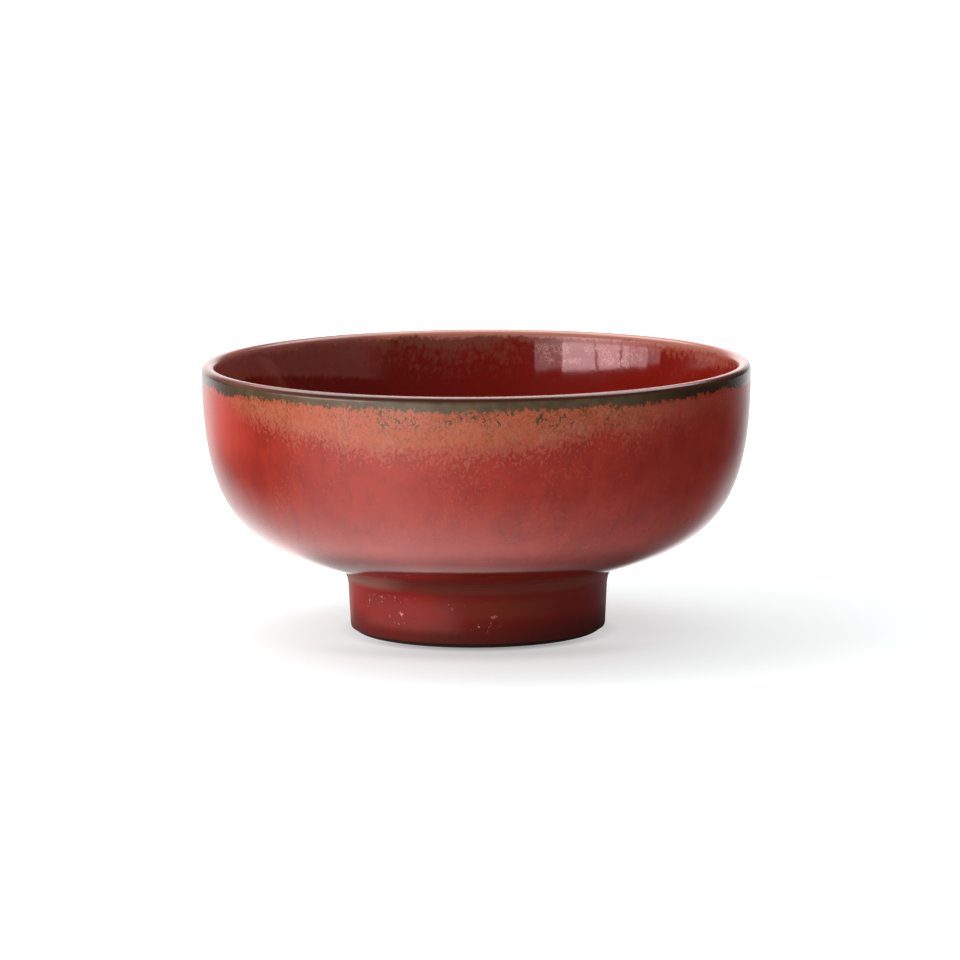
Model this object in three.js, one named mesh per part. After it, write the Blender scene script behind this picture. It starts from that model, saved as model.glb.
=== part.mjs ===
// A glazed stoneware bowl on a tall hollow foot.
// Millimetres, +Z up. The origin is on the bowl's axis, in the plane that it stands on.

import * as THREE from "three";
import { mergeVertices } from "three/addons/utils/BufferGeometryUtils.js";

// Overall size, measured on the finished, glazed surface
const bowlHeight = 73.7;
const rimRadius = 75;

// Wall of the bowl: its outside runs from the foot joint up to the rim in one curve
const jointRadius = 36.5; // where the underside meets the foot
const jointHeight = 17.6;
const undersideRise = 13.3; // degrees above level at the foot joint
const undersideReach = 29.5; // how far the flat underside pulls the curve outwards
const rimReach = 37.4; // how far the upright rim pulls the curve downwards
const lipThickness = 3.5;
const baseWall = 6; // wall at the foot joint
const wallThinning = 3; // power that keeps the thinning of the wall near the rim
const floorThickness = 6.5; // from the clay over the foot's hollow to the finished floor
const floorFlat = 16; // how far the level middle of the floor pulls its curve
const floorSweep = 9; // how far the wall's foot pulls the floor's curve

// Foot
const flareOut = 1.1; // how far the flare spreads out to the foot joint
const flareHeight = 3.2;
const footTaper = 0.45; // how far the foot draws in from the flare to its bottom edge
const footEdge = 2.8; // rounding of the bottom edge, on the glaze
const footWall = 6.65; // from the glaze outside to the clay wall of the hollow
const footInnerEdge = 1.2;
const hollowDepth = 13.5; // from the standing plane to the clay over the hollow
const hollowFillet = 2;
const slipThickness = 0.8;

// Glaze
const glazeThickness = 0.5;
const rimBandOutside = 4.5; // how far the rim's glaze comes down outside
const rimBandInside = 3;
const bareFoot = 1.3; // bare clay under the glaze at the foot's outside
const bareHollow = 2; // and inside the hollow

// Facets
const segments = 48;
const outsideSteps = 8;
const insideSteps = 7;
const floorSteps = 4;
const lipSteps = 6;
const bareEdgeSteps = 4;
const glazedEdgeSteps = 2;
const innerEdgeSteps = 3;
const flareSteps = 3;
const filletSteps = 4;
const weld = 1e-5; // vertices this near are one

const finishes = {
  clay: { color: 0x4a3326, roughness: 0.85, metalness: 0 },
  slip: { color: 0x5a4032, roughness: 0.9, metalness: 0 },
  redGlaze: { color: 0x8e2418, roughness: 0.2, metalness: 0 },
  insideGlaze: { color: 0x6a1c12, roughness: 0.2, metalness: 0 },
  oliveGlaze: { color: 0x5a4a38, roughness: 0.25, metalness: 0 },
};

// Points of a curve pushed in from the finished surface by a depth
function pushedIn(curve, t, depth) {
  const along = curve.getTangent(t);
  const inward = new THREE.Vector2(-along.y, along.x);
  return curve.getPoint(t).addScaledVector(inward, depth);
}

// Where a rising run of points reaches a height
function reachHeight(pointAt, height) {
  const halvings = 40;
  let low = 0;
  let high = 1;
  for (let halving = 0; halving < halvings; halving++) {
    const middle = (low + high) / 2;
    if (pointAt(middle).y < height) low = middle;
    else high = middle;
  }
  return (low + high) / 2;
}

function spread(from, to, steps) {
  return Array.from({ length: steps + 1 }, (_, i) => from + ((to - from) * i) / steps);
}

function point(r, z) {
  return new THREE.Vector2(r, z);
}

function arc(centre, radius, fromDegrees, toDegrees, steps) {
  return spread(fromDegrees, toDegrees, steps).map((degrees) => {
    const angle = THREE.MathUtils.degToRad(degrees);
    return point(centre.x + radius * Math.cos(angle), centre.y + radius * Math.sin(angle));
  });
}

// Wall of the bowl
const rimSpring = bowlHeight - lipThickness / 2;
const rise = THREE.MathUtils.degToRad(undersideRise);
const outside = new THREE.CubicBezierCurve(
  point(jointRadius, jointHeight),
  point(jointRadius + undersideReach * Math.cos(rise), jointHeight + undersideReach * Math.sin(rise)),
  point(rimRadius, rimSpring - rimReach),
  point(rimRadius, rimSpring),
);

// The wall thins from the foot joint to the lip, mostly near the lip
function wallAt(t) {
  return baseWall - (baseWall - lipThickness) * t ** wallThinning;
}

const outsideGlazeTop = reachHeight((t) => pushedIn(outside, t, 0), bowlHeight - rimBandOutside);
const insideGlazeTop = reachHeight((t) => pushedIn(outside, t, wallAt(t)), bowlHeight - rimBandInside);
const outsideRun = spread(0, outsideGlazeTop, outsideSteps);
const insideRun = spread(0, insideGlazeTop, insideSteps);

const glazedOutside = outsideRun.map((t) => pushedIn(outside, t, 0));
const clayOutside = outsideRun.map((t) => pushedIn(outside, t, glazeThickness));
const clayInside = insideRun.map((t) => pushedIn(outside, t, wallAt(t) - glazeThickness));
const glazedInside = insideRun.map((t) => pushedIn(outside, t, wallAt(t)));

// Rounded lip, from its outside over the top to its inside
const lipCentre = point(rimRadius - lipThickness / 2, rimSpring);
const glazedLip = arc(lipCentre, lipThickness / 2, 0, 180, lipSteps);
const clayLip = arc(lipCentre, lipThickness / 2 - glazeThickness, 0, 180, lipSteps);

// Floor of the bowl, from the axis out to the wall
const floorHeight = hollowDepth + floorThickness;
const wallFoot = glazedInside[0];
const nearFoot = 0.02; // a short way up the wall's curve
const wallFootSlope = pushedIn(outside, nearFoot, wallAt(nearFoot)).sub(wallFoot).normalize();
const floor = new THREE.CubicBezierCurve(
  point(0, floorHeight),
  point(floorFlat, floorHeight),
  wallFoot.clone().addScaledVector(wallFootSlope, -floorSweep),
  wallFoot.clone(),
);
const floorRun = spread(0, 1, floorSteps).slice(1, -1);
const glazedFloor = [point(0, floorHeight), ...floorRun.map((t) => pushedIn(floor, t, 0))];
const clayFloor = [
  point(0, floorHeight - glazeThickness),
  ...floorRun.map((t) => pushedIn(floor, t, -glazeThickness)),
];

// Foot, from the bottom edge up to the joint
const footTopRadius = jointRadius - flareOut;
const footRadius = footTopRadius - footTaper;
const footInnerRadius = footRadius - footWall;
const edgeCentre = point(footRadius - footEdge, footEdge - glazeThickness);
const footTop = jointHeight - flareHeight;
const flare = new THREE.QuadraticBezierCurve(
  point(footTopRadius, footTop),
  point(footTopRadius, jointHeight - flareOut),
  point(jointRadius, jointHeight),
);
const glazeEnd = -THREE.MathUtils.radToDeg(Math.asin((edgeCentre.y - bareFoot) / footEdge));
const clayEdge = footEdge - glazeThickness;
const glazedEdge = arc(edgeCentre, clayEdge, glazeEnd, 0, glazedEdgeSteps); // clay under the glaze

// Joint under the bowl: a level seat round a boss, with slip on both
const seat = clayOutside[0];
const ringTop = seat.y - slipThickness;
const bossRadius = footInnerRadius - slipThickness;
const ringTopOnFlare = reachHeight((t) => pushedIn(flare, t, glazeThickness), ringTop);
const flareRun = spread(0, ringTopOnFlare, flareSteps);
const clayFlare = flareRun.map((t) => pushedIn(flare, t, glazeThickness));
const glazedFlare = flareRun.map((t) => pushedIn(flare, t, 0));
const ringCorner = clayFlare[clayFlare.length - 1];

// One turned piece. A profile runs from axis to axis, or closes on itself, and two pieces
// that touch list the outline that they share in the same direction, so their facets match.
function turned(name, finish, profile) {
  const onAxis = profile[0].x === 0;
  const outline = onAxis ? profile : [...profile, profile[0]];
  const lathe = new THREE.LatheGeometry(outline, segments);
  lathe.deleteAttribute("normal");
  lathe.deleteAttribute("uv");
  const solid = mergeVertices(lathe, weld);
  const clockwise = THREE.ShapeUtils.area(profile) < 0;
  if (clockwise) {
    const index = solid.getIndex();
    for (let i = 0; i < index.count; i += 3) {
      const second = index.getX(i + 1);
      index.setX(i + 1, index.getX(i + 2));
      index.setX(i + 2, second);
    }
  }
  solid.rotateX(Math.PI / 2);
  solid.computeVertexNormals();
  const mesh = new THREE.Mesh(solid, new THREE.MeshStandardMaterial(finish));
  mesh.name = name;
  return mesh;
}

// The thrown bowl: outside, lip, inside, floor, and the seat and boss that hold the foot
function bowlBody() {
  return turned("bowl_body", finishes.clay, [
    point(0, hollowDepth),
    point(bossRadius, hollowDepth),
    point(bossRadius, seat.y),
    ...clayOutside,
    ...clayLip,
    ...[...clayInside].reverse(),
    ...[...clayFloor].reverse(),
  ]);
}

// The hollow foot, which stands on its bare bottom edge
function footRing() {
  const innerEdgeCentre = point(footInnerRadius + footInnerEdge, footInnerEdge);
  return turned("foot_ring", finishes.clay, [
    ...arc(edgeCentre, clayEdge, -90, glazeEnd, bareEdgeSteps),
    ...glazedEdge.slice(1),
    ...clayFlare,
    point(footInnerRadius, ringTop),
    point(footInnerRadius, hollowDepth),
    point(footInnerRadius, bareHollow),
    ...arc(innerEdgeCentre, footInnerEdge, 180, 270, innerEdgeSteps),
  ]);
}

// Slip that fills the joint between the bowl and its foot
function slipJoint() {
  return turned("slip_joint", finishes.slip, [
    point(bossRadius, hollowDepth),
    point(bossRadius, seat.y),
    seat,
    ringCorner,
    point(footInnerRadius, ringTop),
    point(footInnerRadius, hollowDepth),
  ]);
}

function outsideGlaze() {
  return turned("outside_glaze", finishes.redGlaze, [
    ...clayOutside,
    ...[...glazedOutside].reverse(),
  ]);
}

function rimGlaze() {
  return turned("rim_glaze", finishes.oliveGlaze, [
    clayOutside[clayOutside.length - 1],
    ...clayLip,
    clayInside[clayInside.length - 1],
    glazedInside[glazedInside.length - 1],
    ...[...glazedLip].reverse(),
    glazedOutside[glazedOutside.length - 1],
  ]);
}

function insideGlaze() {
  return turned("inside_glaze", finishes.insideGlaze, [
    ...glazedFloor,
    ...glazedInside,
    ...[...clayInside].reverse(),
    ...[...clayFloor].reverse(),
  ]);
}

function footGlaze() {
  return turned("foot_glaze", finishes.redGlaze, [
    ...glazedEdge,
    ...clayFlare,
    seat,
    glazedOutside[0],
    ...[...glazedFlare].reverse(),
    ...arc(edgeCentre, footEdge, 0, glazeEnd, glazedEdgeSteps),
  ]);
}

function footRecessGlaze() {
  const wall = footInnerRadius - glazeThickness;
  const ceiling = hollowDepth - glazeThickness;
  const corner = point(wall - hollowFillet, ceiling - hollowFillet);
  return turned("foot_recess_glaze", finishes.insideGlaze, [
    point(0, hollowDepth),
    point(bossRadius, hollowDepth),
    point(footInnerRadius, hollowDepth),
    point(footInnerRadius, bareHollow),
    point(wall, bareHollow),
    ...arc(corner, hollowFillet, 0, 90, filletSteps),
    point(0, ceiling),
  ]);
}

const bowl = new THREE.Group();
bowl.name = "footed_bowl";
bowl.add(
  bowlBody(),
  footRing(),
  slipJoint(),
  insideGlaze(),
  outsideGlaze(),
  rimGlaze(),
  footGlaze(),
  footRecessGlaze(),
);

export default bowl;
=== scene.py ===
import math

import bpy
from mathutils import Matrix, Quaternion, Vector


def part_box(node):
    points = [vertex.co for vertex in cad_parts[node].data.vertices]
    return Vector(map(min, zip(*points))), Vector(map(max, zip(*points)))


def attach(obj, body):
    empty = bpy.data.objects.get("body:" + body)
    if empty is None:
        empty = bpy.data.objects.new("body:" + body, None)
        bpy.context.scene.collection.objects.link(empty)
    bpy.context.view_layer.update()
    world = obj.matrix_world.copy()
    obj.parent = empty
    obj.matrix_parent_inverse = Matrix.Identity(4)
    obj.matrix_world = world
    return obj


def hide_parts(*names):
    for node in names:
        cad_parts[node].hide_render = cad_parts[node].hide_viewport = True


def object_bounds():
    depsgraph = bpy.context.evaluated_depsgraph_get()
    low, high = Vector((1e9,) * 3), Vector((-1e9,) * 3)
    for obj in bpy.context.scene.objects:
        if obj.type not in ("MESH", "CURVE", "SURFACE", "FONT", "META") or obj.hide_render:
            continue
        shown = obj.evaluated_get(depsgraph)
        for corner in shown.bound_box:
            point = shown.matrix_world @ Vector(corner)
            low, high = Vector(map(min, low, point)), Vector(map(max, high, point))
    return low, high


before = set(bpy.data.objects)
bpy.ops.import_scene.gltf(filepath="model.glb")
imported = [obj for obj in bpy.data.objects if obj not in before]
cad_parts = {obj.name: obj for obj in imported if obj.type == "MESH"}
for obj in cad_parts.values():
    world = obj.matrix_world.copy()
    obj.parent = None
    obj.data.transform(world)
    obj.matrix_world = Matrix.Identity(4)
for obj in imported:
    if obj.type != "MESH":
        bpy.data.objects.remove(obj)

cadLow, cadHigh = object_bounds()
mm = 0.001
halvings = 40
weldDistance = 0.0005 * mm
creaseAngle = 40

# Main sizes, taken from the frame
rimRadius = cadHigh.x
bowlHeight = cadHigh.z
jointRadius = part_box("foot_glaze")[1].x
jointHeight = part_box("outside_glaze")[0].z
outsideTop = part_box("outside_glaze")[1].z
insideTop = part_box("inside_glaze")[1].z
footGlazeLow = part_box("foot_glaze")[0].z
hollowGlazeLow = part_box("foot_recess_glaze")[0].z
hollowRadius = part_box("foot_recess_glaze")[1].x
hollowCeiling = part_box("foot_recess_glaze")[1].z

bowl = dict(
    floorTop=20.0 * mm,          # height of the glaze on the bowl's floor
    undersideRise=13.3,          # degrees above level at the foot
    undersideReach=29.5 * mm,
    rimReach=37.4 * mm,
    lip=3.5 * mm,
    baseWall=6.0 * mm,
    thinning=3,                  # power that keeps the thinning of the wall near the rim
    glaze=0.5 * mm,
    floorFlat=16 * mm,
    floorSweep=9 * mm,
    turns=320,                   # segments round the bowl
    wallSteps=72,
    wallClaySteps=24,            # on the side of a coat that faces the clay
    floorSteps=24,
    lipSteps=14,
    lipLegSteps=8,
)

foot = dict(
    flareOut=1.1 * mm,
    flareHeight=6.5 * mm,
    flareReach=0.027,            # share of the wall curve that the flare runs along
    taper=0.45 * mm,
    edge=2.8 * mm,
    innerEdge=1.2 * mm,
    fillet=2.0 * mm,
    coatShare=0.5,               # share of the flare behind which the coat has clay
    steps=8,
    turns=256,
)


def say(text):
    print("bowl: " + text)


# Outline maths

def bezier(corners, t):
    a, b, c, d = corners
    u = 1 - t
    return a * u ** 3 + b * (3 * u * u * t) + c * (3 * u * t * t) + d * t ** 3


def along(corners, t):
    a, b, c, d = corners
    u = 1 - t
    return ((b - a) * (3 * u * u) + (c - b) * (6 * u * t) + (d - c) * (3 * t * t)).normalized()


def pushedIn(corners, t, depth):
    way = along(corners, t)
    return bezier(corners, t) + Vector((-way.y, way.x)) * depth


def arc(centre, radius, start, end, steps):
    points = []
    for i in range(steps + 1):
        angle = math.radians(start + (end - start) * i / steps)
        points.append(centre + Vector((math.cos(angle), math.sin(angle))) * radius)
    return points


# Share of a rising curve at which it reaches a height, found by halving
def reachHeight(pointAt, height):
    low, high = 0.0, 1.0
    for halving in range(halvings):
        middle = (low + high) / 2
        if pointAt(middle).y < height:
            low = middle
        else:
            high = middle
    return (low + high) / 2


rimSpring = bowlHeight - bowl["lip"] / 2
rise = math.radians(bowl["undersideRise"])
joint = Vector((jointRadius, jointHeight))
wallCurve = (
    joint,
    joint + Vector((math.cos(rise), math.sin(rise))) * bowl["undersideReach"],
    Vector((rimRadius, rimSpring - bowl["rimReach"])),
    Vector((rimRadius, rimSpring)),
)


def wallAt(t):
    return bowl["baseWall"] - (bowl["baseWall"] - bowl["lip"]) * t ** bowl["thinning"]


def wallRun(top, depthAt, steps):
    end = reachHeight(lambda t: pushedIn(wallCurve, t, depthAt(t)), top)
    shares = [end * i / steps for i in range(steps + 1)]
    return [pushedIn(wallCurve, share, depthAt(share)) for share in shares]


# Mesh making: a profile is drawn with extrusions and spun round the axis

def spun(name, outline, closed, turns):
    bpy.ops.object.select_all(action="DESELECT")
    bpy.ops.mesh.primitive_plane_add(size=mm, location=(0, 0, 0))
    piece = bpy.context.object
    piece.name = name
    piece.data.name = name
    bpy.ops.object.mode_set(mode="EDIT")
    bpy.ops.mesh.select_all(action="SELECT")
    bpy.ops.mesh.merge(type="CENTER")
    bpy.ops.transform.translate(value=(outline[0].x, 0, outline[0].y))
    path = list(outline) + ([outline[0]] if closed else [])
    for before, after in zip(path, path[1:]):
        step = (after.x - before.x, 0, after.y - before.y)
        bpy.ops.mesh.extrude_region_move(TRANSFORM_OT_translate={"value": step})
    bpy.ops.mesh.select_all(action="SELECT")
    bpy.ops.mesh.spin(steps=turns, angle=2 * math.pi, center=(0, 0, 0), axis=(0, 0, 1))
    bpy.ops.mesh.select_all(action="SELECT")
    bpy.ops.mesh.remove_doubles(threshold=weldDistance)
    bpy.ops.mesh.normals_make_consistent(inside=False)
    bpy.ops.object.mode_set(mode="OBJECT")
    bpy.ops.object.shade_smooth_by_angle(angle=math.radians(creaseAngle))
    say(name + " has " + str(len(piece.data.polygons)) + " faces")
    return piece


def standIn(piece, node):
    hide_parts(node)
    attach(piece, "root")


# Pieces

def makeOutsideGlaze():
    outer = wallRun(outsideTop, lambda t: 0.0, bowl["wallSteps"])
    inner = wallRun(outsideTop, lambda t: bowl["glaze"], bowl["wallClaySteps"])
    piece = spun("outside_glaze_coat", outer + inner[::-1], True, bowl["turns"])
    standIn(piece, "outside_glaze")
    return piece


def floorCurve(wallFoot, nextUp):
    slope = (nextUp - wallFoot).normalized()
    return (
        Vector((0, bowl["floorTop"])),
        Vector((bowl["floorFlat"], bowl["floorTop"])),
        wallFoot - slope * bowl["floorSweep"],
        wallFoot,
    )


def makeInsideGlaze():
    glazed = wallRun(insideTop, wallAt, bowl["wallSteps"])
    clay = wallRun(insideTop, lambda t: wallAt(t) - bowl["glaze"], bowl["wallClaySteps"])
    curve = floorCurve(glazed[0], glazed[1])
    steps = bowl["floorSteps"]
    top = [bezier(curve, i / steps) for i in range(steps)]
    under = [pushedIn(curve, i / steps, -bowl["glaze"]) for i in range(1, steps)]
    under = [Vector((0, bowl["floorTop"] - bowl["glaze"]))] + under
    piece = spun("inside_glaze_coat", top + glazed + clay[::-1] + under[::-1], False, bowl["turns"])
    standIn(piece, "inside_glaze")
    return piece


def makeRimGlaze():
    centre = Vector((rimRadius - bowl["lip"] / 2, rimSpring))
    steps = bowl["lipLegSteps"]
    start = reachHeight(lambda t: pushedIn(wallCurve, t, 0.0), outsideTop)
    stop = reachHeight(lambda t: pushedIn(wallCurve, t, wallAt(t)), insideTop)

    def leg(first, depthAt):
        shares = [first + (1 - first) * i / steps for i in range(steps)]
        return [pushedIn(wallCurve, share, depthAt(share)) for share in shares]

    outer = leg(start, lambda t: 0.0) + arc(centre, bowl["lip"] / 2, 0, 180, bowl["lipSteps"])
    outer += leg(stop, wallAt)[::-1]
    clay = leg(start, lambda t: bowl["glaze"])
    clay += arc(centre, bowl["lip"] / 2 - bowl["glaze"], 0, 180, bowl["lipSteps"])
    clay += leg(stop, lambda t: wallAt(t) - bowl["glaze"])[::-1]
    piece = spun("rim_glaze_coat", outer + clay[::-1], True, bowl["turns"])
    standIn(piece, "rim_glaze")
    return piece


def footOutline():
    topRadius = jointRadius - foot["flareOut"]
    lowRadius = topRadius - foot["taper"]
    edgeCentre = Vector((lowRadius - foot["edge"], foot["edge"] - bowl["glaze"]))
    footTop = jointHeight - foot["flareHeight"]
    high = bezier(wallCurve, foot["flareReach"])
    slope = along(wallCurve, foot["flareReach"])
    corner = Vector((topRadius, high.y - (high.x - topRadius) * slope.y / slope.x))
    low = Vector((topRadius, footTop))
    # A curve with one handle, the corner, written with two
    flare = (low, low + (corner - low) * 2 / 3, high + (corner - high) * 2 / 3, high)
    return edgeCentre, flare


def makeFootGlaze():
    edgeCentre, flare = footOutline()
    steps = foot["steps"]
    glazeEnd = -math.degrees(math.asin((edgeCentre.y - footGlazeLow) / foot["edge"]))
    outer = arc(edgeCentre, foot["edge"], glazeEnd, 0, steps)
    outer += [bezier(flare, i / steps) for i in range(steps + 1)]
    seat = pushedIn(wallCurve, 0, bowl["glaze"])
    clay = arc(edgeCentre, foot["edge"] - bowl["glaze"], glazeEnd, 0, steps)
    shares = [foot["coatShare"] * i / steps for i in range(steps + 1)]
    clay += [pushedIn(flare, share, bowl["glaze"]) for share in shares] + [seat]
    piece = spun("foot_glaze_coat", outer + clay[::-1], True, foot["turns"])
    standIn(piece, "foot_glaze")
    return piece


def makeHollowGlaze():
    wall = hollowRadius - bowl["glaze"]
    ceiling = hollowCeiling - bowl["glaze"]
    corner = Vector((wall - foot["fillet"], ceiling - foot["fillet"]))
    outline = [Vector((0, hollowCeiling)), Vector((hollowRadius, hollowCeiling)),
               Vector((hollowRadius, hollowGlazeLow)), Vector((wall, hollowGlazeLow))]
    outline += arc(corner, foot["fillet"], 0, 90, foot["steps"]) + [Vector((0, ceiling))]
    piece = spun("hollow_glaze_coat", outline, False, foot["turns"])
    standIn(piece, "foot_recess_glaze")
    return piece


def makeFootClay():
    edgeCentre, flare = footOutline()
    steps = foot["steps"]
    clayEdge = foot["edge"] - bowl["glaze"]
    seat = pushedIn(wallCurve, 0, bowl["glaze"])
    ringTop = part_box("foot_ring")[1].z
    stop = reachHeight(lambda t: pushedIn(flare, t, bowl["glaze"]), ringTop)
    outline = arc(edgeCentre, clayEdge, -90, 0, steps * 2)
    outline += [pushedIn(flare, stop * i / steps, bowl["glaze"]) for i in range(steps + 1)]
    innerEdge = Vector((hollowRadius + foot["innerEdge"], foot["innerEdge"]))
    outline += [Vector((hollowRadius, ringTop)), Vector((hollowRadius, hollowCeiling))]
    outline += arc(innerEdge, foot["innerEdge"], 180, 270, steps)
    piece = spun("foot_clay_ring", outline, True, foot["turns"])
    standIn(piece, "foot_ring")
    return piece


say("making the glaze coats and the foot")
outsideGlaze = makeOutsideGlaze()
insideGlaze = makeInsideGlaze()
rimGlaze = makeRimGlaze()
footGlaze = makeFootGlaze()
hollowGlaze = makeHollowGlaze()
footClay = makeFootClay()


# Shader helpers

# Every input is a number apart from the place
def newGroup(name, inputs, outputs):
    group = bpy.data.node_groups.new(name, "ShaderNodeTree")
    for label in inputs:
        kind = "NodeSocketVector" if label == "Place" else "NodeSocketFloat"
        group.interface.new_socket(name=label, in_out="INPUT", socket_type=kind)
    for label, kind in outputs.items():
        group.interface.new_socket(name=label, in_out="OUTPUT", socket_type="NodeSocket" + kind)
    return group, group.nodes.new("NodeGroupInput"), group.nodes.new("NodeGroupOutput")


def feed(tree, socket, value):
    if isinstance(value, bpy.types.NodeSocket):
        tree.links.new(value, socket)
    elif isinstance(value, tuple) and len(value) == 3 and socket.type == "RGBA":
        socket.default_value = (*value, 1)
    elif value is not None:
        socket.default_value = value


def place(group, tree, **values):
    node = tree.nodes.new("ShaderNodeGroup")
    node.node_tree = group
    for label, value in values.items():
        feed(tree, node.inputs[label[0].upper() + label[1:]], value)
    return node


def maths(tree, operation, first, second=None, third=None):
    node = tree.nodes.new("ShaderNodeMath")
    node.operation = operation
    for socket, value in zip(node.inputs, (first, second, third)):
        feed(tree, socket, value)
    return node.outputs[0]


def product(tree, *values):
    result = values[0]
    for value in values[1:]:
        result = maths(tree, "MULTIPLY", result, value)
    return result


# One value times another, plus a third
def timesPlus(tree, value, factor, added):
    return maths(tree, "MULTIPLY_ADD", value, factor, added)


# Smooth mask that starts at one value and is full at the other
def ramp(tree, value, start, full):
    node = tree.nodes.new("ShaderNodeMapRange")
    node.interpolation_type = "SMOOTHSTEP"
    feed(tree, node.inputs["Value"], value)
    feed(tree, node.inputs["From Min"], start)
    feed(tree, node.inputs["From Max"], full)
    return node.outputs["Result"]


# Mask that starts and is full at the first two values, and fades and ends at the others if they are given
def mask(tree, value, start, full, fade=None, end=None):
    shown = ramp(tree, value, start, full)
    if fade is None:
        return shown
    return product(tree, shown, ramp(tree, value, end, fade))


def noise(tree, spot, scale, detail, rough, stretch=None):
    if stretch is not None:
        mapping = tree.nodes.new("ShaderNodeMapping")
        mapping.inputs["Scale"].default_value = stretch
        tree.links.new(spot, mapping.inputs["Vector"])
        spot = mapping.outputs["Vector"]
    node = tree.nodes.new("ShaderNodeTexNoise")
    tree.links.new(spot, node.inputs["Vector"])
    node.inputs["Detail"].default_value = detail
    node.inputs["Roughness"].default_value = rough
    feed(tree, node.inputs["Scale"], scale)
    return node.outputs["Fac"]


# A noise less its middle value
def swing(tree, pattern):
    return maths(tree, "SUBTRACT", pattern, 0.5)


# Nought where a noise crosses its middle value, for thin lines
def crossing(tree, pattern):
    return maths(tree, "ABSOLUTE", swing(tree, pattern))


def blend(tree, factor, first, second):
    node = tree.nodes.new("ShaderNodeMix")
    node.data_type = "RGBA"
    for socket, value in zip((node.inputs[0], node.inputs[6], node.inputs[7]), (factor, first, second)):
        feed(tree, socket, value)
    return node.outputs[2]


# Lays one colour over another where all the masks allow it
def paint(tree, colour, over, *masks):
    return blend(tree, product(tree, *masks), colour, over)


def part(tree, spot, axis):
    node = tree.nodes.new("ShaderNodeSeparateXYZ")
    tree.links.new(spot, node.inputs[0])
    return node.outputs[axis]


# Signed distance along one level direction, whose azimuth is in degrees from the camera to the left
def across(tree, spot, azimuth):
    node = tree.nodes.new("ShaderNodeVectorMath")
    node.operation = "DOT_PRODUCT"
    tree.links.new(spot, node.inputs[0])
    turn = math.radians(azimuth)
    node.inputs[1].default_value = (-math.sin(turn), -math.cos(turn), 0)
    return node.outputs["Value"]


def length(tree, vector):
    node = tree.nodes.new("ShaderNodeVectorMath")
    node.operation = "LENGTH"
    tree.links.new(vector, node.inputs[0])
    return node.outputs["Value"]


# Small parts that the glazes share. Places and heights in them are in millimetres

ragged = dict(
    slow=dict(detail=2, rough=0.5),
    fine=dict(detail=4, rough=0.62, stretch=(1, 1, 0.75)),
)


# Mask of what lies above a level that waves slowly and breaks up finely
def makeRaggedEdge():
    inputs = ("Place", "Height", "Level", "Wave", "WaveGrain", "Depth", "Grain", "Softness")
    group, start, end = newGroup("raggedEdge", inputs, dict(Mask="Float"))
    given = start.outputs
    slow = noise(group, given["Place"], given["WaveGrain"], **ragged["slow"])
    fine = noise(group, given["Place"], given["Grain"], **ragged["fine"])
    above = maths(group, "SUBTRACT", given["Height"], given["Level"])
    above = timesPlus(group, swing(group, slow), given["Wave"], above)
    above = timesPlus(group, swing(group, fine), given["Depth"], above)
    low = maths(group, "MULTIPLY", given["Softness"], -1)
    group.links.new(ramp(group, above, low, given["Softness"]), end.inputs["Mask"])
    return group


spotted = dict(
    spots=dict(detail=3, rough=0.6, stretch=(1, 1, 0.8)),
    crowds=dict(detail=2, rough=0.5),
)


# Small spots that crowd together in places
def makeFlecks():
    inputs = ("Place", "Grain", "Level", "Cluster", "Crowding", "Sharpness")
    group, start, end = newGroup("flecks", inputs, dict(Mask="Float"))
    given = start.outputs
    spots = noise(group, given["Place"], given["Grain"], **spotted["spots"])
    crowds = noise(group, given["Place"], given["Cluster"], **spotted["crowds"])
    spots = timesPlus(group, swing(group, crowds), given["Crowding"], spots)
    high = maths(group, "ADD", given["Level"], given["Sharpness"])
    group.links.new(ramp(group, spots, given["Level"], high), end.inputs["Mask"])
    return group


splitRun = dict(jag=dict(scale=0.55, detail=4, rough=0.7), jagReach=4.5)


# Thin jagged line down the wall, where a run of glaze has split
def makeGlazeRun():
    inputs = ("Place", "Height", "Side", "Lean", "Middle", "Width", "Low", "High")
    group, start, end = newGroup("glazeRun", inputs, dict(Mask="Float"))
    given = start.outputs
    jag = noise(group, given["Place"], **splitRun["jag"])
    off = maths(group, "SUBTRACT", given["Middle"], given["Height"])
    off = timesPlus(group, off, given["Lean"], given["Side"])
    off = timesPlus(group, swing(group, jag), splitRun["jagReach"], off)
    line = ramp(group, maths(group, "ABSOLUTE", off), 0, given["Width"])
    line = maths(group, "SUBTRACT", 1, line)
    above = maths(group, "GREATER_THAN", given["Height"], given["Low"])
    below = maths(group, "LESS_THAN", given["Height"], given["High"])
    group.links.new(product(group, above, below, line), end.inputs["Mask"])
    return group


leaning = dict(
    depth=15,                    # how far below the lip the wall leans
    ease=8,                      # how softly the lean stops
)


# Lean of the inner wall below the lip, as a height for bump
def makeWallLean():
    group, start, end = newGroup("wallLean", ("Place", "Lean"), dict(Relief="Float"))
    height = part(group, start.outputs["Place"], "Z")
    below = maths(group, "MAXIMUM", maths(group, "SUBTRACT", rimSpring / mm, height), 0)
    below = maths(group, "SMOOTH_MIN", below, leaning["depth"], leaning["ease"])
    group.links.new(product(group, below, start.outputs["Lean"]), end.inputs["Relief"])
    return group


raggedEdge = makeRaggedEdge()
flecks = makeFlecks()
glazeRun = makeGlazeRun()
wallLean = makeWallLean()


def newGlazeGroup(name):
    return newGroup(name, ("Place",), dict(Color="Color", Lustre="Float", Relief="Float"))


def edgeMask(tree, spot, height, **settings):
    return place(raggedEdge, tree, place=spot, height=height, **settings).outputs["Mask"]


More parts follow.
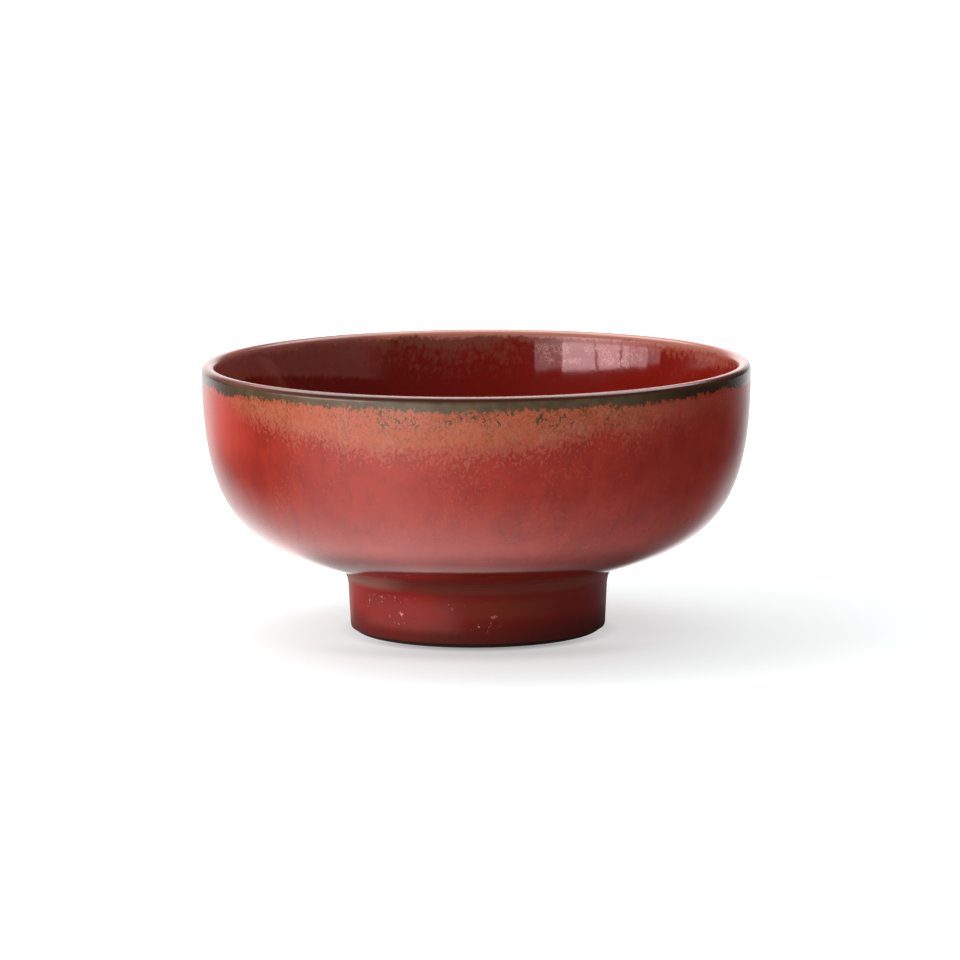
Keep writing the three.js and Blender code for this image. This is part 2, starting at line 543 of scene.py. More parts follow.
# What can mask a layer: heights, sideways places, noises, flecks and ragged edges
def makePatterns(tree, spot, look):
    found = dict(height=part(tree, spot, "Z"), side=part(tree, spot, "X"))
    for name, azimuth in look["directions"].items():
        found[name] = across(tree, spot, azimuth)
    for name, settings in look["noises"].items():
        found[name] = noise(tree, spot, **settings)
    for name, settings in look["flecks"].items():
        found[name] = place(flecks, tree, place=spot, **settings).outputs["Mask"]
    for name, settings in look["edges"].items():
        found[name] = edgeMask(tree, spot, found["height"], **settings)
    return found


# Lays colours over one another, each with its strength and the patterns that mask it. A pair says where
# a mask starts and is full, four numbers also where it fades and ends, and None takes it as it is
def layered(tree, colour, colours, patterns, layers):
    for name, strength, masks in layers:
        shown = [patterns[key] if where is None else mask(tree, patterns[key], *where)
                 for key, where in masks.items()]
        colour = paint(tree, colour, colours[name], *shown, strength)
    return colour


def finishGroup(group, end, colour, lustre, relief):
    for label, value in dict(Color=colour, Lustre=lustre, Relief=relief).items():
        feed(group, end.inputs[label], value)
    return group


# Glaze outside. Side is the distance to the right of the axis

outside = dict(
    colours=dict(
        red=(0.54, 0.036, 0.015),
        redDeep=(0.46, 0.026, 0.012),
        redDark=(0.26, 0.016, 0.01),
        # painted light on the upper left edge of the body
        paintedLightRed=(0.92, 0.085, 0.048),
        pink=(0.66, 0.18, 0.105),
        orange=(0.65, 0.14, 0.05),
        salmon=(0.68, 0.175, 0.085),
        rust=(0.52, 0.062, 0.026),
        vein=(0.24, 0.075, 0.026),
        moss=(0.105, 0.082, 0.018),
        olive=(0.16, 0.11, 0.055),
        oliveMiddle=(0.12, 0.078, 0.038),
        oliveDark=(0.05, 0.03, 0.014),
        oliveBrown=(0.085, 0.046, 0.026),
        maroon=(0.085, 0.022, 0.013),
        lipPaintedHighlight=(0.21, 0.072, 0.056),
    ),
    directions=dict(crustFront=8, speckFront=-5),
    noises=dict(
        clouds=dict(scale=0.11, detail=5, rough=0.62),
        streaks=dict(scale=0.35, detail=4, rough=0.6, stretch=(1, 1, 0.35)),
        veil=dict(scale=0.9, detail=4, rough=0.7),
        grains=dict(scale=2.4, detail=3, rough=0.6),
        warmth=dict(scale=0.16, detail=3, rough=0.6),
        flakes=dict(scale=1.1, detail=4, rough=0.75),
        threads=dict(scale=0.42, detail=4, rough=0.66, stretch=(1, 1, 0.7)),
    ),
    flecks=dict(
        paleFlecks=dict(grain=1.3, level=0.6, cluster=0.09, crowding=0.4, sharpness=0.1),
        brightFlecks=dict(grain=1.7, level=0.58, cluster=0.1, crowding=0.3, sharpness=0.1),
        specks=dict(grain=0.8, level=0.605, cluster=0.12, crowding=0.5, sharpness=0.03),
        grit=dict(grain=1.5, level=0.6, cluster=0.15, crowding=0.45, sharpness=0.03),
    ),
    edges=dict(
        band=dict(level=69.9, wave=4, waveGrain=0.07, depth=6, grain=0.9, softness=0.35),
    ),
    crustCore=dict(wave=12, waveGrain=0.045, depth=18, grain=0.9, softness=1.2),
    crustStray=dict(wave=12, waveGrain=0.045, depth=32, grain=1.25, softness=1.6),
    crustHeight=67.3,
    strayLower=3,
    lowerAtFront=-5.5,           # how far the crust hangs down towards the camera and away from it
    frontPower=4,
    lowerOnLeft=-1.8,
    leftStart=(2, -18),
    leftEnd=(-58, -46),
    fadeRight=(62, 30),
    fadeLeft=(-70, -58),
    crustLeast=0.16,             # strength of the crust where it fades
    paleLeast=0.06,
    paleMore=0.16,
    bodyLayers=(
        ("redDeep", 1, dict(clouds=(0.4, 0.62))),
        ("redDark", 0.3, dict(streaks=(0.52, 0.66))),
        ("redDark", 0.4, dict(grains=(0.6, 0.7))),
        ("pink", 1, dict(paleFlecks=None, paleness=None)),
        # Painted shade: the right side of the body darker, away from the key lamp
        ("redDark", 0.38, dict(side=(34, 56))),
        # Painted light: the upper left edge of the body brighter red, towards the key lamp
        ("paintedLightRed", 0.8, dict(side=(-58, -69), height=(46, 58))),
        # Painted shade: the lower body and underside darker on the left and in the middle
        ("redDark", 0.42, dict(height=(40, 30), side=(25, -5))),
        ("pink", 0.5, dict(stray=None, crustStrength=None)),
        ("crust", 0.9, dict(core=None, crustStrength=None)),
        ("moss", 1, dict(specks=None, height=(63, 67), speckFront=(58, 68))),
        ("vein", 0.6, dict(grit=None, height=(61, 68))),
        ("band", 1, dict(band=None)),
        ("lip", 1, dict(height=(72.2, 72.8))),
    ),
    crustLayers=(
        ("salmon", 1, dict(warmth=(0.42, 0.58))),
        ("rust", 0.45, dict(veil=(0.53, 0.68))),
        ("rust", 0.5, dict(grains=(0.6, 0.68))),
        ("rust", 0.4, dict(flakes=(0.54, 0.62))),
        ("pink", 0.5, dict(flakes=(0.47, 0.38))),
        ("pink", 0.35, dict(brightFlecks=None)),
        ("vein", 0.55, dict(threads=(0.034, 0.008), clouds=(0.44, 0.52))),
    ),
    paleOliveLayers=(
        ("olive", 1, dict(warmth=(0.4, 0.6))),
    ),
    darkOliveLayers=(
        ("oliveBrown", 1, dict(side=(0, -20))),
    ),
    lipLayers=(
        # Painted highlight: the lip rosier on its left, where the key lamp catches it
        ("lipPaintedHighlight", 1, dict(side=(-38, -66))),
    ),
    lustreHeight=(40, 24),       # the underside is smoother and more like metal
    veilRelief=0.3,
)


# Height down to which the crust reaches
def crustLevel(group, found, look):
    front = maths(group, "DIVIDE", found["crustFront"], rimRadius / mm)
    front = maths(group, "POWER", maths(group, "ABSOLUTE", front), look["frontPower"])
    left = product(group, ramp(group, found["side"], *look["leftStart"]),
                   ramp(group, found["side"], *look["leftEnd"]))
    level = timesPlus(group, front, look["lowerAtFront"], look["crustHeight"])
    return timesPlus(group, left, look["lowerOnLeft"], level)


def makeOutsideColours():
    group, start, end = newGlazeGroup("outsideColours")
    spot = start.outputs["Place"]
    look = outside
    colours = dict(look["colours"])
    found = makePatterns(group, spot, look)
    found["threads"] = crossing(group, found["threads"])

    # The crust under the rim hangs lower in front and fades at both sides
    level = crustLevel(group, found, look)
    strayLevel = maths(group, "SUBTRACT", level, look["strayLower"])
    found["core"] = edgeMask(group, spot, found["height"], level=level, **look["crustCore"])
    found["stray"] = edgeMask(group, spot, found["height"], level=strayLevel, **look["crustStray"])
    fading = ramp(group, found["side"], *look["fadeRight"])
    found["paleness"] = timesPlus(group, fading, look["paleMore"], look["paleLeast"])
    fading = product(group, fading, ramp(group, found["side"], *look["fadeLeft"]))
    least = look["crustLeast"]
    found["crustStrength"] = timesPlus(group, fading, 1 - least, least)
    colours["crust"] = layered(group, colours["orange"], colours, found, look["crustLayers"])

    # The olive band is darker where the crust fades, at both sides. Its paler middle is partly the
    # glaze's own colour and partly a painted reflection
    pale = layered(group, colours["oliveMiddle"], colours, found, look["paleOliveLayers"])
    dark = layered(group, colours["oliveDark"], colours, found, look["darkOliveLayers"])
    colours["band"] = blend(group, fading, dark, pale)
    colours["lip"] = layered(group, colours["maroon"], colours, found, look["lipLayers"])

    colour = layered(group, colours["red"], colours, found, look["bodyLayers"])
    lustre = ramp(group, found["height"], *look["lustreHeight"])
    relief = timesPlus(group, found["veil"], look["veilRelief"], found["clouds"])
    return finishGroup(group, end, colour, lustre, relief)


# Glaze inside

inside = dict(
    colours=dict(
        red=(0.32, 0.013, 0.006),
        deep=(0.19, 0.012, 0.007),
        brown=(0.26, 0.08, 0.047),
        pale=(0.44, 0.075, 0.04),
        salmon=(0.5, 0.105, 0.058),
        lipSalmon=(0.62, 0.24, 0.175),
        paintedSheen=(0.31, 0.086, 0.07),
        crackle=(0.9, 0.46, 0.38),
    ),
    directions=dict(crackSide=-152),
    noises=dict(
        clouds=dict(scale=0.1, detail=5, rough=0.62),
        veil=dict(scale=0.8, detail=4, rough=0.68, stretch=(1, 1, 0.6)),
        cracks=dict(scale=0.6, detail=4, rough=0.75),
        clumps=dict(scale=0.2, detail=2, rough=0.5),
    ),
    flecks=dict(
        wisps=dict(grain=0.9, level=0.56, cluster=0.07, crowding=0.5, sharpness=0.16),
    ),
    edges=dict(
        upper=dict(level=68, wave=14, waveGrain=0.06, depth=40, grain=0.7, softness=5),
        band=dict(level=70.2, wave=8, waveGrain=0.06, depth=10, grain=0.7, softness=0.8),
        lip=dict(level=71.8, wave=3, waveGrain=0.08, depth=3, grain=0.9, softness=0.5),
    ),
    paintedSheenEdge=dict(wave=1, waveGrain=0.06, depth=2, grain=0.7, softness=0.7),
    paintedSheenLevel=56.7,
    paintedSheenSlope=-0.14,
    # painted light: the inner wall redder towards the right, the side facing the key lamp
    paintedLightSide=(-55, 70),
    redClouds=-0.8,
    upperStrength=0.5,
    upperLessOnRight=-0.42,
    wispStrength=0.4,
    wispLessOnRight=-0.2,
    rightSide=(18, 48),
    runs=(
        dict(azimuth=-61.2, lean=-0.2, width=0.45),
        dict(azimuth=-55, lean=-0.05, width=0.4),
    ),
    runShape=dict(middle=65, low=63, high=72),
    layers=(
        ("red", 1, dict(redCloudsAndPaintedLight=None)),
        ("brown", 1, dict(upper=None, upperStrength=None)),
        ("pale", 1, dict(wisps=None, height=(56, 66), wispStrength=None)),
        ("band", 0.8, dict(band=None)),
        ("lipSalmon", 0.9, dict(lip=None)),
        ("paintedSheen", 0.7, dict(paintedSheen=None, side=(-22, -34))),       # painted reflection: a pale sheen on the upper left of the inner wall
        ("deep", 0.9, dict(runs=None)),
        ("crackle", 0.9, dict(cracks=(0.026, 0.01), clumps=(0.51, 0.56), height=(63.5, 65.5, 69, 70.5),
                              crackSide=(68.3, 70))),
    ),
    veilRelief=0.2,
    runRelief=1.2,
)


# Split runs of glaze on the far wall
def makeRuns(group, spot, height):
    masks = []
    for run in inside["runs"]:
        node = place(glazeRun, group, place=spot, height=height, side=across(group, spot, run["azimuth"]),
                     lean=run["lean"], width=run["width"], **inside["runShape"])
        masks.append(node.outputs["Mask"])
    behind = maths(group, "GREATER_THAN", part(group, spot, "Y"), 0)
    return product(group, maths(group, "MAXIMUM", *masks), behind)


def makeInsideColours():
    group, start, end = newGlazeGroup("insideColours")
    spot = start.outputs["Place"]
    look = inside
    colours = dict(look["colours"])
    found = makePatterns(group, spot, look)
    side = found["side"]
    # The inner wall is painted redder towards the right, a painted light on the side facing the key lamp,
    # over its own cloudy mottling
    paintedLightSide = ramp(group, side, *look["paintedLightSide"])
    found["redCloudsAndPaintedLight"] = timesPlus(group, swing(group, found["clouds"]), look["redClouds"], paintedLightSide)

    # Brown and wisps, weaker on the right, where the band is salmon
    right = ramp(group, side, *look["rightSide"])
    for name in ("upper", "wisp"):
        strength = timesPlus(group, right, look[name + "LessOnRight"], look[name + "Strength"])
        found[name + "Strength"] = strength
    colours["band"] = blend(group, right, colours["brown"], colours["salmon"])

    # Painted reflection: a pale sheen on the upper left of the inner wall, with a lower edge that slopes
    # across the wall
    paintedSheenLevel = timesPlus(group, side, look["paintedSheenSlope"], look["paintedSheenLevel"])
    found["paintedSheen"] = edgeMask(group, spot, found["height"], level=paintedSheenLevel, **look["paintedSheenEdge"])
    found["runs"] = makeRuns(group, spot, found["height"])
    found["cracks"] = crossing(group, found["cracks"])

    colour = layered(group, colours["deep"], colours, found, look["layers"])
    relief = timesPlus(group, found["veil"], look["veilRelief"], found["clouds"])
    relief = timesPlus(group, found["runs"], look["runRelief"], relief)
    return finishGroup(group, end, colour, found["runs"], relief)


# Glaze on the foot

footLook = dict(
    colours=dict(
        red=(0.47, 0.017, 0.01),
        dark=(0.36, 0.015, 0.009),
        paintedShade=(0.2, 0.018, 0.011),
        low=(0.13, 0.012, 0.008),
        paintedSheen=(0.42, 0.085, 0.075),
        patch=(0.25, 0.058, 0.026),
        brown=(0.22, 0.046, 0.03),
        paintedHighlight=(0.52, 0.2, 0.15),
        glint=(1, 0.42, 0.36),
        clay=(0.06, 0.02, 0.012),
    ),
    directions=dict(dimSide=62, paintedSheenSide=34, roseSide=66, leftSide=90, patchSide=-14, glintSide=26),
    noises=dict(
        clouds=dict(scale=0.12, detail=4, rough=0.55),
        veil=dict(scale=0.8, detail=4, rough=0.7),
        smears=dict(scale=0.12, detail=4, rough=0.7, stretch=(1, 1, 3.5)),
    ),
    flecks=dict(
        glints=dict(grain=0.75, level=0.668, cluster=0.11, crowding=0.5, sharpness=0.02),
    ),
    edges=dict(
        coat=dict(level=3.4, wave=6, waveGrain=0.06, depth=4, grain=0.3, softness=2.2),
    ),
    dimWhere=(34, 21),
    lowStrength=0.6,
    lowMoreWhereDim=0.1,
    smearWhere=(0.58, 0.66),
    smearVeil=(0.45, 0.6),
    patchStrength=0.4,
    patchMoreInSmears=0.5,
    bareStrength=0.5,            # how much clay shows through where the coat thins at its lower end
    layers=(
        ("dark", 1, dict(clouds=(0.38, 0.64))),
        # Painted shade: the foot darker on its right and back, away from the key lamp
        ("paintedShade", 0.85, dict(paintedShade=None)),
        ("low", 1, dict(height=(9, 4.5), lowStrength=None)),
        # Painted sheen: a pale reflection on the front left of the foot
        ("paintedSheen", 0.5, dict(paintedSheenSide=(30, 34), height=(3, 5.5, 10, 16))),
        ("brown", 0.85, dict(height=(14.2, 15.8))),
        # Painted highlight: the top of the foot's flare paler on the left, where light catches it
        ("paintedHighlight", 0.8, dict(height=(14, 16), roseSide=(29, 36))),
        # Painted light: the foot's far left edge paler near the bottom
        ("paintedHighlight", 0.6, dict(height=(1, 5), leftSide=(33.4, 35))),
        ("patch", 1, dict(patchSide=(31.5, 34.6), height=(7, 9.5, 12, 14), patchStrength=None)),
        ("glint", 0.95, dict(glints=None, height=(4, 7, 12, 14), glintSide=(28, 32))),
        ("clay", 1, dict(bare=None)),
    ),
    veilRelief=0.3,
)


def makeFootColours():
    group, start, end = newGlazeGroup("footColours")
    look = footLook
    found = makePatterns(group, start.outputs["Place"], look)
    found["paintedShade"] = ramp(group, found["dimSide"], *look["dimWhere"])
    found["lowStrength"] = timesPlus(group, found["paintedShade"], look["lowMoreWhereDim"], look["lowStrength"])
    smears = product(group, ramp(group, found["smears"], *look["smearWhere"]),
                     ramp(group, found["veil"], *look["smearVeil"]))
    found["patchStrength"] = timesPlus(group, smears, look["patchMoreInSmears"], look["patchStrength"])
    found["bare"] = timesPlus(group, found["coat"], -look["bareStrength"], look["bareStrength"])
    colour = layered(group, look["colours"]["red"], look["colours"], found, look["layers"])
    relief = timesPlus(group, found["veil"], look["veilRelief"], found["clouds"])
    return finishGroup(group, end, colour, 0, relief)


outsideColours = makeOutsideColours()
insideColours = makeInsideColours()
footColours = makeFootColours()


# Materials

def newMaterial(name):
    material = bpy.data.materials.new(name)
    material.use_nodes = True
    tree = material.node_tree
    return material, tree, tree.nodes["Principled BSDF"]


# Object coordinates in millimetres
def placeInMillimetres(tree):
    where = tree.nodes.new("ShaderNodeTexCoord")
    scale = tree.nodes.new("ShaderNodeVectorMath")
    scale.operation = "SCALE"
    scale.inputs["Scale"].default_value = 1 / mm
    tree.links.new(where.outputs["Object"], scale.inputs[0])
    return scale.outputs[0]


# The height is in millimetres
def addBump(tree, shader, height):
    node = tree.nodes.new("ShaderNodeBump")
    node.inputs["Strength"].default_value = 1
    node.inputs["Distance"].default_value = mm
    tree.links.new(height, node.inputs["Height"])
    tree.links.new(node.outputs["Normal"], shader.inputs["Normal"])


# Relief is in millimetres, and lean is the slope that bump gives the inner wall
finishes = dict(
    outside=dict(rough=0.27, spread=0.10, lustreRough=-0.19, lustreMetal=0.5, coat=0.3, coatRough=0.12,
                 ior=1.5, relief=0.03, lean=0),
    foot=dict(rough=0.50, spread=0.10, lustreRough=0, lustreMetal=0, coat=0, coatRough=0.10,
              ior=1.26, relief=0.03, lean=0),
    inside=dict(rough=0.03, spread=0.04, lustreRough=0.15, lustreMetal=0, coat=0, coatRough=0.1,
                ior=1.62, relief=0.012, lean=0.06),
    rim=dict(rough=0.18, spread=0.08, coat=0.2, coatRough=0.15, ior=1.55, relief=0.018, lean=0.06),
)
coatIor = 1.6
roughPatches = dict(scale=0.2, detail=4.0, rough=0.6)
rimOutward = (0.3, 1.0)          # from the lip's middle, in millimetres, where its inner look gives way


def gloss(tree, shader, spot, finish, lustre=None):
    shader.inputs["IOR"].default_value = finish["ior"]
    shader.inputs["Coat Weight"].default_value = finish["coat"]
    shader.inputs["Coat Roughness"].default_value = finish["coatRough"]
    shader.inputs["Coat IOR"].default_value = coatIor
    patches = noise(tree, spot, **roughPatches)
    rough = timesPlus(tree, patches, finish["spread"], finish["rough"])
    if lustre is not None:
        rough = timesPlus(tree, lustre, finish["lustreRough"], rough)
        tree.links.new(product(tree, lustre, finish["lustreMetal"]), shader.inputs["Metallic"])
    tree.links.new(rough, shader.inputs["Roughness"])


def makeGlazeMaterial(name, group, finish):
    material, tree, shader = newMaterial(name)
    spot = placeInMillimetres(tree)
    colours = place(group, tree, place=spot)
    tree.links.new(colours.outputs["Color"], shader.inputs["Base Color"])
    gloss(tree, shader, spot, finish, colours.outputs["Lustre"])
    height = product(tree, colours.outputs["Relief"], finish["relief"])
    if finish["lean"] > 0:
        lean = place(wallLean, tree, place=spot, lean=finish["lean"])
        height = maths(tree, "ADD", height, lean.outputs["Relief"])
    addBump(tree, shader, height)
    return material


def makeRimMaterial(name, finish):
    material, tree, shader = newMaterial(name)
    spot = placeInMillimetres(tree)
    outer = place(outsideColours, tree, place=spot)
    inner = place(insideColours, tree, place=spot)
    flat = tree.nodes.new("ShaderNodeVectorMath")
    flat.operation = "MULTIPLY"
    flat.inputs[1].default_value = (1, 1, 0)
    tree.links.new(spot, flat.inputs[0])
    middle = (rimRadius - bowl["lip"] / 2) / mm
    outward = ramp(tree, length(tree, flat.outputs[0]), *[middle + reach for reach in rimOutward])
    colour = blend(tree, outward, inner.outputs["Color"], outer.outputs["Color"])
    tree.links.new(colour, shader.inputs["Base Color"])
    gloss(tree, shader, spot, finish)
    lean = place(wallLean, tree, place=spot, lean=finish["lean"])
    lean = product(tree, lean.outputs["Relief"], maths(tree, "SUBTRACT", 1.0, outward))
    height = timesPlus(tree, outer.outputs["Relief"], finish["relief"], lean)
    addBump(tree, shader, height)
    return material


clay = dict(
    grain=dict(scale=1.6, detail=6.0, rough=0.7),
    darkWhere=(0.3, 0.75),
    rough=0.8,
    ior=1.25,
    relief=0.05,
    stoneware=((0.050, 0.022, 0.013), (0.018, 0.009, 0.006)),
    slip=((0.10, 0.055, 0.036), (0.05, 0.028, 0.02)),
)


def makeClayMaterial(name, light, dark):
    material, tree, shader = newMaterial(name)
    spot = placeInMillimetres(tree)
    grain = noise(tree, spot, **clay["grain"])
    colour = blend(tree, ramp(tree, grain, *clay["darkWhere"]), light, dark)
    tree.links.new(colour, shader.inputs["Base Color"])
    shader.inputs["Roughness"].default_value = clay["rough"]
    shader.inputs["IOR"].default_value = clay["ior"]
    addBump(tree, shader, product(tree, grain, clay["relief"]))
    return material


def wear(piece, material):
    piece.data.materials.clear()
    piece.data.materials.append(material)


say("making the glazes")
footMaterial = makeGlazeMaterial("footGlaze", footColours, finishes["foot"])
clayMaterial = makeClayMaterial("bareStoneware", *clay["stoneware"])
wear(outsideGlaze, makeGlazeMaterial("redGlaze", outsideColours, finishes["outside"]))
wear(insideGlaze, makeGlazeMaterial("deepGlaze", insideColours, finishes["inside"]))
wear(rimGlaze, makeRimMaterial("rimGlaze", finishes["rim"]))
wear(footGlaze, footMaterial)
wear(hollowGlaze, footMaterial)
wear(footClay, clayMaterial)
wear(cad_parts["bowl_body"], clayMaterial)
wear(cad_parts["slip_joint"], makeClayMaterial("firedSlip", *clay["slip"]))


# Camera

camera = dict(
    aim=(0.81 * mm, 0, 41.1 * mm),
    elevation=8.234,
    distance=1848 * mm,
    roll=-0.38,
    sensor=36,
    focalPixels=6746,            # focal length in the photograph's own pixels
    picturePixels=960,
    farthest=20,
)


def makeCamera():
    data = bpy.data.cameras.new("camera")
    data.sensor_width = camera["sensor"]
    data.lens = camera["sensor"] * camera["focalPixels"] / camera["picturePixels"]
    data.clip_end = camera["farthest"]
    obj = bpy.data.objects.new("camera", data)
    bpy.context.collection.objects.link(obj)
    tilt = math.radians(camera["elevation"])
    back = Vector((0, -math.cos(tilt), math.sin(tilt)))
    obj.location = Vector(camera["aim"]) + back * camera["distance"]
    obj.rotation_mode = "XYZ"
    obj.rotation_euler = (math.radians(90) - tilt, 0, 0)
    obj.rotation_euler.rotate_axis("Z", math.radians(camera["roll"]))
    bpy.context.scene.camera = obj


# Lamps. Azimuth is measured from the camera's side towards the left, and radiance is what a mirror shows

windowPane = dict(distance=1.0, matt=False, roll=7, colour=(1.0, 0.66, 0.70))

lamps = dict(
    key=dict(azimuth=47, elevation=18, distance=0.95, width=0.8, height=0.7, radiance=2.45,
             mirrored=False),
    lowStrip=dict(azimuth=57.5, elevation=7.8, width=0.60, height=0.172, radiance=4.7, **windowPane),
    lowStripFront=dict(azimuth=34.5, elevation=9.0, width=0.25, height=0.192, radiance=1.3, **windowPane),
    lowStripBack=dict(azimuth=80, elevation=6.2, width=0.20, height=0.122, radiance=3.0, **windowPane),
    lowStripEnd=dict(azimuth=89.5, elevation=5.0, width=0.14, height=0.105, radiance=1.3, **windowPane),
    top=dict(azimuth=184, elevation=66, distance=0.9, width=1.4, height=0.75, radiance=2.6),
)
wattsPerRadiance = 4             # for each square metre of a rectangular lamp


def makeLamp(name, azimuth, elevation, distance, width, height, radiance,
             roll=0, colour=(1, 1, 1), matt=True, mirrored=True):
    data = bpy.data.lights.new(name, "AREA")
    data.shape = "RECTANGLE"
    data.size = width
    data.size_y = height
    data.energy = radiance * wattsPerRadiance * width * height
    data.color = colour
    obj = bpy.data.objects.new(name, data)
    bpy.context.collection.objects.link(obj)
    turn, tilt = math.radians(azimuth), math.radians(elevation)
    way = Vector((-math.sin(turn) * math.cos(tilt), -math.cos(turn) * math.cos(tilt), math.sin(tilt)))
    obj.location = Vector((0, 0, bowlHeight / 2)) + way * distance
    obj.rotation_mode = "QUATERNION"
    obj.rotation_quaternion = way.to_track_quat("Z", "Y") @ Quaternion((0, 0, 1), math.radians(roll))
    obj.visible_camera = False
    obj.visible_diffuse = matt
    obj.visible_glossy = mirrored


# Floor. Reach is the distance from the axis, in metres, and forward is the distance towards the camera

floorLook = dict(
    size=40,
    bounce=(0.42, 0.42, 0.42),
    bounceRight=(0.60, 0.60, 0.60),
    rightSide=(-0.02, 0.08),
    seenColour=(0.328, 0.36, 0.360),
    lift=0.63,                   # share of white that the camera sees in the painted shadow
    shadeMiddle=(0.05, 0.01, 0),
    clearReach=(0.05, 0.19),     # from the middle of the painted shadow to clear white
    # painted shadow in front of the foot, for the camera
    frontReach=(0.062, 0.042),
    frontForward=(0.02, 0.045),
    frontDarker=-0.16,
    closeReach=(0.040, 0.034),   # painted contact shadow where the foot touches the floor
    closeForward=(0.010, 0.030),
    closeDarker=-0.08,
    closeFrontDarker=-0.20,
    underReach=(0.2, 0.08),      # light from the floor on matt surfaces, near the bowl on the right
    underLight=0.25,
    farReach=(0.064, 0.152),     # from the bowl's overhang to the open floor, in reflections
    drawnIn=-0.7,                # how much sooner the open floor starts behind the bowl
    # painted contact shadow in reflections: the floor glows less close to the foot
    contactReach=(0.045, 0.068),
    contactLight=0.38,
)

# What the floor shows in reflections, by azimuth: nearby, and further off
nearGlow = [(-180, 1.4), (-150, 1.4), (-138, 1.1), (-126, 1.0), (-108, 0.36), (-92, 0.22), (-75, 0.22),
            (-54, 0.42), (-30, 0.8), (0, 1.8), (28, 2.3), (54, 1.75), (74, 1.5), (92, 1.55), (111, 1.6),
            (130, 1.5), (150, 1.4), (180, 1.4)]
farGlow = [(-180, 1.3), (-157, 1.3), (-146, 0.75), (-137, 0.28), (-127, 0.06), (-114, 0.0), (-80, 0.0),
           (-58, 0.03), (-28, 0.12), (0, 0.40), (12, 0.9), (28, 1.6), (42, 1.5), (55, 1.2), (66, 0.75),
           (76, 0.26), (88, 0.08), (108, 0.06), (122, 0.20), (133, 0.6), (144, 1.2), (180, 1.3)]
glowScale = 2                    # what a full ramp stands for


def byAzimuth(tree, turn, stops):
    node = tree.nodes.new("ShaderNodeValToRGB")
    tree.links.new(turn, node.inputs["Fac"])
    elements = node.color_ramp.elements
    while len(elements) < len(stops):
        elements.new(0.5)
    for element, (azimuth, value) in zip(elements, stops):
        element.position = (azimuth + 180) / 360
        element.color = (value / glowScale,) * 3 + (1,)
    return product(tree, node.outputs["Color"], glowScale)


# What the camera sees: white, with a painted shadow near the bowl, darker in front of the foot, and a
# painted contact shadow where the foot touches
def floorSeen(tree, where, reach, forward):
    look = floorLook
    apart = tree.nodes.new("ShaderNodeVectorMath")
    apart.operation = "DISTANCE"
    apart.inputs[1].default_value = look["shadeMiddle"]
    tree.links.new(where, apart.inputs[0])
    clear = ramp(tree, apart.outputs["Value"], *look["clearReach"])
    lifted = timesPlus(tree, clear, 1 - look["lift"], look["lift"])
    front = product(tree, ramp(tree, reach, *look["frontReach"]),
                    ramp(tree, forward, *look["frontForward"]))
    lifted = timesPlus(tree, front, look["frontDarker"], lifted)
    darker = timesPlus(tree, ramp(tree, forward, *look["closeForward"]),
                       look["closeFrontDarker"], look["closeDarker"])
    return timesPlus(tree, ramp(tree, reach, *look["closeReach"]), darker, lifted)


# What glossy surfaces see
def floorMirrored(tree, where, reach, forward):
    look = floorLook
    aside = maths(tree, "MULTIPLY", part(tree, where, "X"), -1.0)
    turn = maths(tree, "ARCTAN2", aside, forward)
    turn = timesPlus(tree, turn, 1 / math.tau, 0.5)
    rearward = maths(tree, "MAXIMUM", part(tree, where, "Y"), 0.0)
    drawnIn = timesPlus(tree, rearward, look["drawnIn"], reach)
    far = ramp(tree, drawnIn, *look["farReach"])
    contact = timesPlus(tree, ramp(tree, reach, *look["contactReach"]),
                        1 - look["contactLight"], look["contactLight"])
    nearby = product(tree, byAzimuth(tree, turn, nearGlow), maths(tree, "SUBTRACT", 1.0, far), contact)
    return timesPlus(tree, byAzimuth(tree, turn, farGlow), far, nearby)


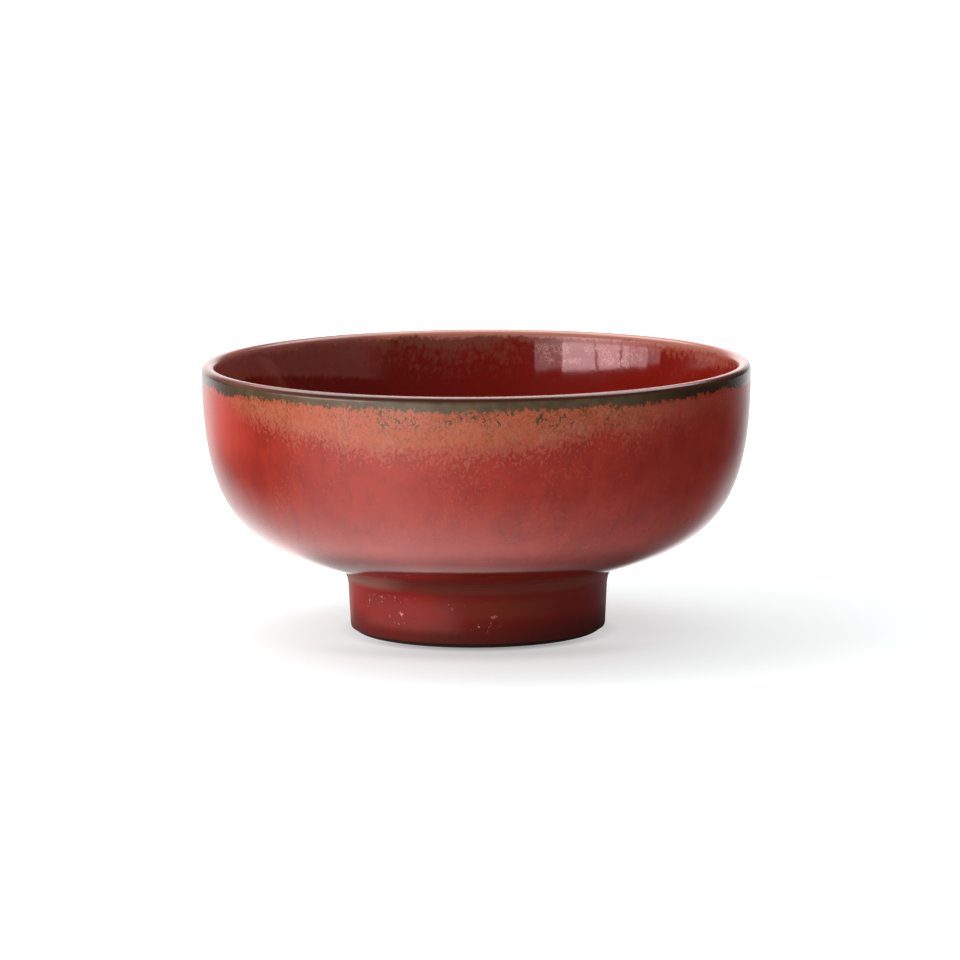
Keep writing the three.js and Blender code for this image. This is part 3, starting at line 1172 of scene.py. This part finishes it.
def makeFloor():
    look = floorLook
    bpy.ops.object.select_all(action="DESELECT")
    bpy.ops.mesh.primitive_plane_add(size=look["size"], location=(0, 0, 0))
    floor = bpy.context.object
    floor.name = "floor"
    material, tree, shader = newMaterial("floor")
    tree.nodes.remove(shader)
    where = tree.nodes.new("ShaderNodeTexCoord").outputs["Object"]
    reach = length(tree, where)
    forward = maths(tree, "MULTIPLY", part(tree, where, "Y"), -1.0)
    right = ramp(tree, part(tree, where, "X"), *look["rightSide"])
    paths = tree.nodes.new("ShaderNodeLightPath").outputs

    # Cloth that takes the light and the shadow, darker for the camera and black in reflections
    cloth = tree.nodes.new("ShaderNodeBsdfDiffuse")
    colour = blend(tree, right, look["bounce"], look["bounceRight"])
    colour = blend(tree, paths["Is Camera Ray"], colour, look["seenColour"])
    colour = blend(tree, paths["Is Glossy Ray"], colour, (0, 0, 0))
    tree.links.new(colour, cloth.inputs["Color"])

    # Glow, which differs for the camera, for matt surfaces and for reflections
    light = product(tree, floorSeen(tree, where, reach, forward), paths["Is Camera Ray"])
    under = product(tree, ramp(tree, reach, *look["underReach"]), right, look["underLight"])
    light = timesPlus(tree, under, paths["Is Diffuse Ray"], light)
    mirrored = floorMirrored(tree, where, reach, forward)
    light = timesPlus(tree, mirrored, paths["Is Glossy Ray"], light)
    glow = tree.nodes.new("ShaderNodeEmission")
    tree.links.new(light, glow.inputs["Strength"])
    add = tree.nodes.new("ShaderNodeAddShader")
    tree.links.new(cloth.outputs[0], add.inputs[0])
    tree.links.new(glow.outputs[0], add.inputs[1])

    # Clear from below
    facing = tree.nodes.new("ShaderNodeNewGeometry")
    clearShader = tree.nodes.new("ShaderNodeBsdfTransparent")
    pick = tree.nodes.new("ShaderNodeMixShader")
    tree.links.new(facing.outputs["Backfacing"], pick.inputs[0])
    tree.links.new(add.outputs[0], pick.inputs[1])
    tree.links.new(clearShader.outputs[0], pick.inputs[2])
    tree.links.new(pick.outputs[0], tree.nodes["Material Output"].inputs["Surface"])
    wear(floor, material)


# World: white for the camera, a bright backdrop in reflections and a weak fill on matt surfaces

worldLook = dict(
    fill=0.18,
    mirrorFill=0.03,             # in reflections away from the backdrop
    backdrop=1.45,
    backdropAzimuth=175,
    backdropEdge=(0.85, 0.97),   # cosine of the angle from its middle
)


def makeWorld():
    look = worldLook
    world = bpy.data.worlds.new("studio")
    bpy.context.scene.world = world
    world.use_nodes = True
    tree = world.node_tree
    background = tree.nodes["Background"]
    background.inputs["Color"].default_value = (1, 1, 1, 1)
    paths = tree.nodes.new("ShaderNodeLightPath").outputs
    where = tree.nodes.new("ShaderNodeTexCoord").outputs["Generated"]
    behind = ramp(tree, across(tree, where, look["backdropAzimuth"]), *look["backdropEdge"])
    mirrored = maths(tree, "MAXIMUM", paths["Is Glossy Ray"], paths["Is Transmission Ray"])
    shown = timesPlus(tree, behind, look["backdrop"], look["mirrorFill"])
    extra = maths(tree, "SUBTRACT", shown, look["fill"])
    strength = timesPlus(tree, mirrored, extra, look["fill"])
    strength = maths(tree, "MAXIMUM", strength, paths["Is Camera Ray"])
    tree.links.new(strength, background.inputs["Strength"])


say("setting up the camera, lamps and floor")
bpy.context.scene.view_settings.view_transform = "Standard"
makeCamera()
for name, lamp in lamps.items():
    makeLamp(name, **lamp)
makeFloor()
makeWorld()
